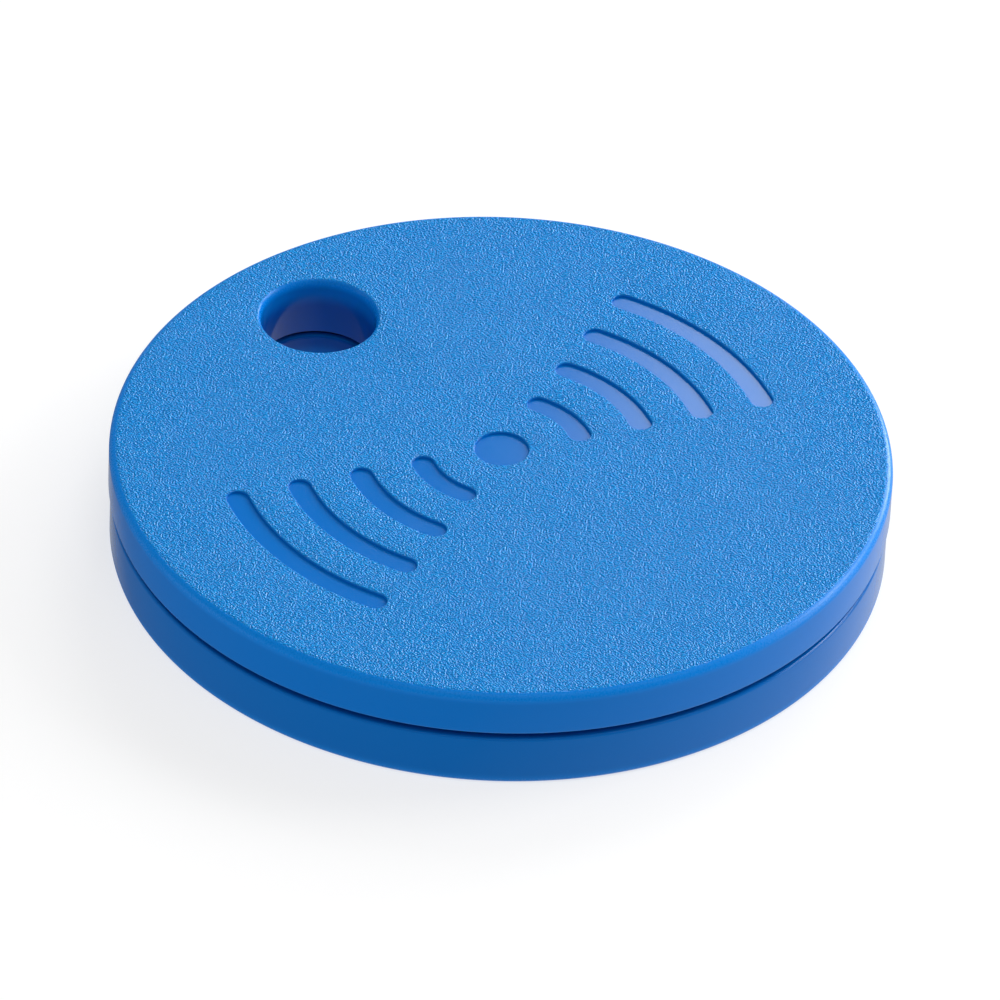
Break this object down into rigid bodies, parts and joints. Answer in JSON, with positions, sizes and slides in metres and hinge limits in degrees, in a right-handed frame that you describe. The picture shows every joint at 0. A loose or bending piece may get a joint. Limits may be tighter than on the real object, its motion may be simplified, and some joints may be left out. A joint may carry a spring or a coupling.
{
  "type": "bluetooth tracker tag",
  "caption": "Round coin-shaped tracker tag with a key-ring hole, a replaceable cell inside and a front cover that clicks as a button.",
  "frame": {"origin": "centre of the underside, on the disc's axis", "axes": "+Z along the disc's axis towards the front face; +Y towards the key-ring hole; +X along the mark"},
  "size_m": [0.035, 0.035, 0.005],
  "materials": {
    "blue_shell_front": "satin",
    "blue_shell_rear": "satin",
    "seal_rubber": "matte",
    "board": "satin",
    "chip": "matte",
    "component_ceramic": "matte",
    "crystal_metal": "satin",
    "inductor_ferrite": "matte",
    "capacitor_ceramic": "matte",
    "resistor_ceramic": "matte",
    "contact_metal": "polished",
    "cell_steel": "satin",
    "cell_gasket": "matte",
    "cell_filling": "matte",
    "switch_plastic": "matte",
    "switch_metal": "satin",
    "sounder_brass": "satin",
    "sounder_ceramic": "matte",
    "adhesive": "matte",
    "foam": "matte"
  },
  "bodies": {
    "rear_case": {"rear_cover": "blue_shell_rear", "circuit_board": "board", "radio_chip": "chip", "main_crystal": "crystal_metal", "clock_crystal": "crystal_metal", "chip_antenna": "component_ceramic", "boost_inductor": "inductor_ferrite", "driver_chip": "chip", "capacitors": "capacitor_ceramic", "resistors": "resistor_ceramic", "positive_contact": "contact_metal", "negative_contact": "contact_metal", "switch_base": "switch_plastic", "switch_dome": "switch_metal", "switch_frame": "switch_metal", "sounder_contact_inner": "contact_metal", "sounder_contact_outer": "contact_metal"},
    "coin_cell": {"coin_cell_can": "cell_steel", "coin_cell_gasket": "cell_gasket", "coin_cell_cap": "cell_steel", "coin_cell_electrodes": "cell_filling"},
    "seals": {"perimeter_seal": "seal_rubber", "keyhole_seal": "seal_rubber"},
    "front": {"front_cover": "blue_shell_front", "piezo_plate": "sounder_brass", "piezo_ceramic": "sounder_ceramic", "piezo_adhesive": "adhesive", "cell_damper": "foam"},
    "plunger": {"switch_plunger": "switch_plastic"}
  },
  "joints": [
    {"name": "cover_lift", "type": "slide", "parent": "rear_case", "child": "seals", "axis": [0, 0, 1], "range_m": [0, 0.02]},
    {"name": "cover_press", "type": "slide", "parent": "seals", "child": "front", "axis": [0, 0, -1], "range_m": [0, 0.00025], "stiffness_N_per_m": 4500, "springref_m": -0.0001, "deforming": ["perimeter_seal", "keyhole_seal", "sounder_contact_inner", "sounder_contact_outer"]},
    {"name": "switch_press", "type": "slide", "parent": "rear_case", "child": "plunger", "axis": [0, 0, -1], "range_m": [0, 0.00025], "deforming": ["switch_dome"]},
    {"name": "cell_lift", "type": "slide", "parent": "rear_case", "child": "coin_cell", "axis": [0, 0, 1], "range_m": [0, 0.008]}
  ],
  "couplings": [
    {"joint": "switch_press", "follows": "cover_press", "ratio": 1},
    {"joint": "cell_lift", "follows": "cover_lift", "ratio": 0.4}
  ]
}
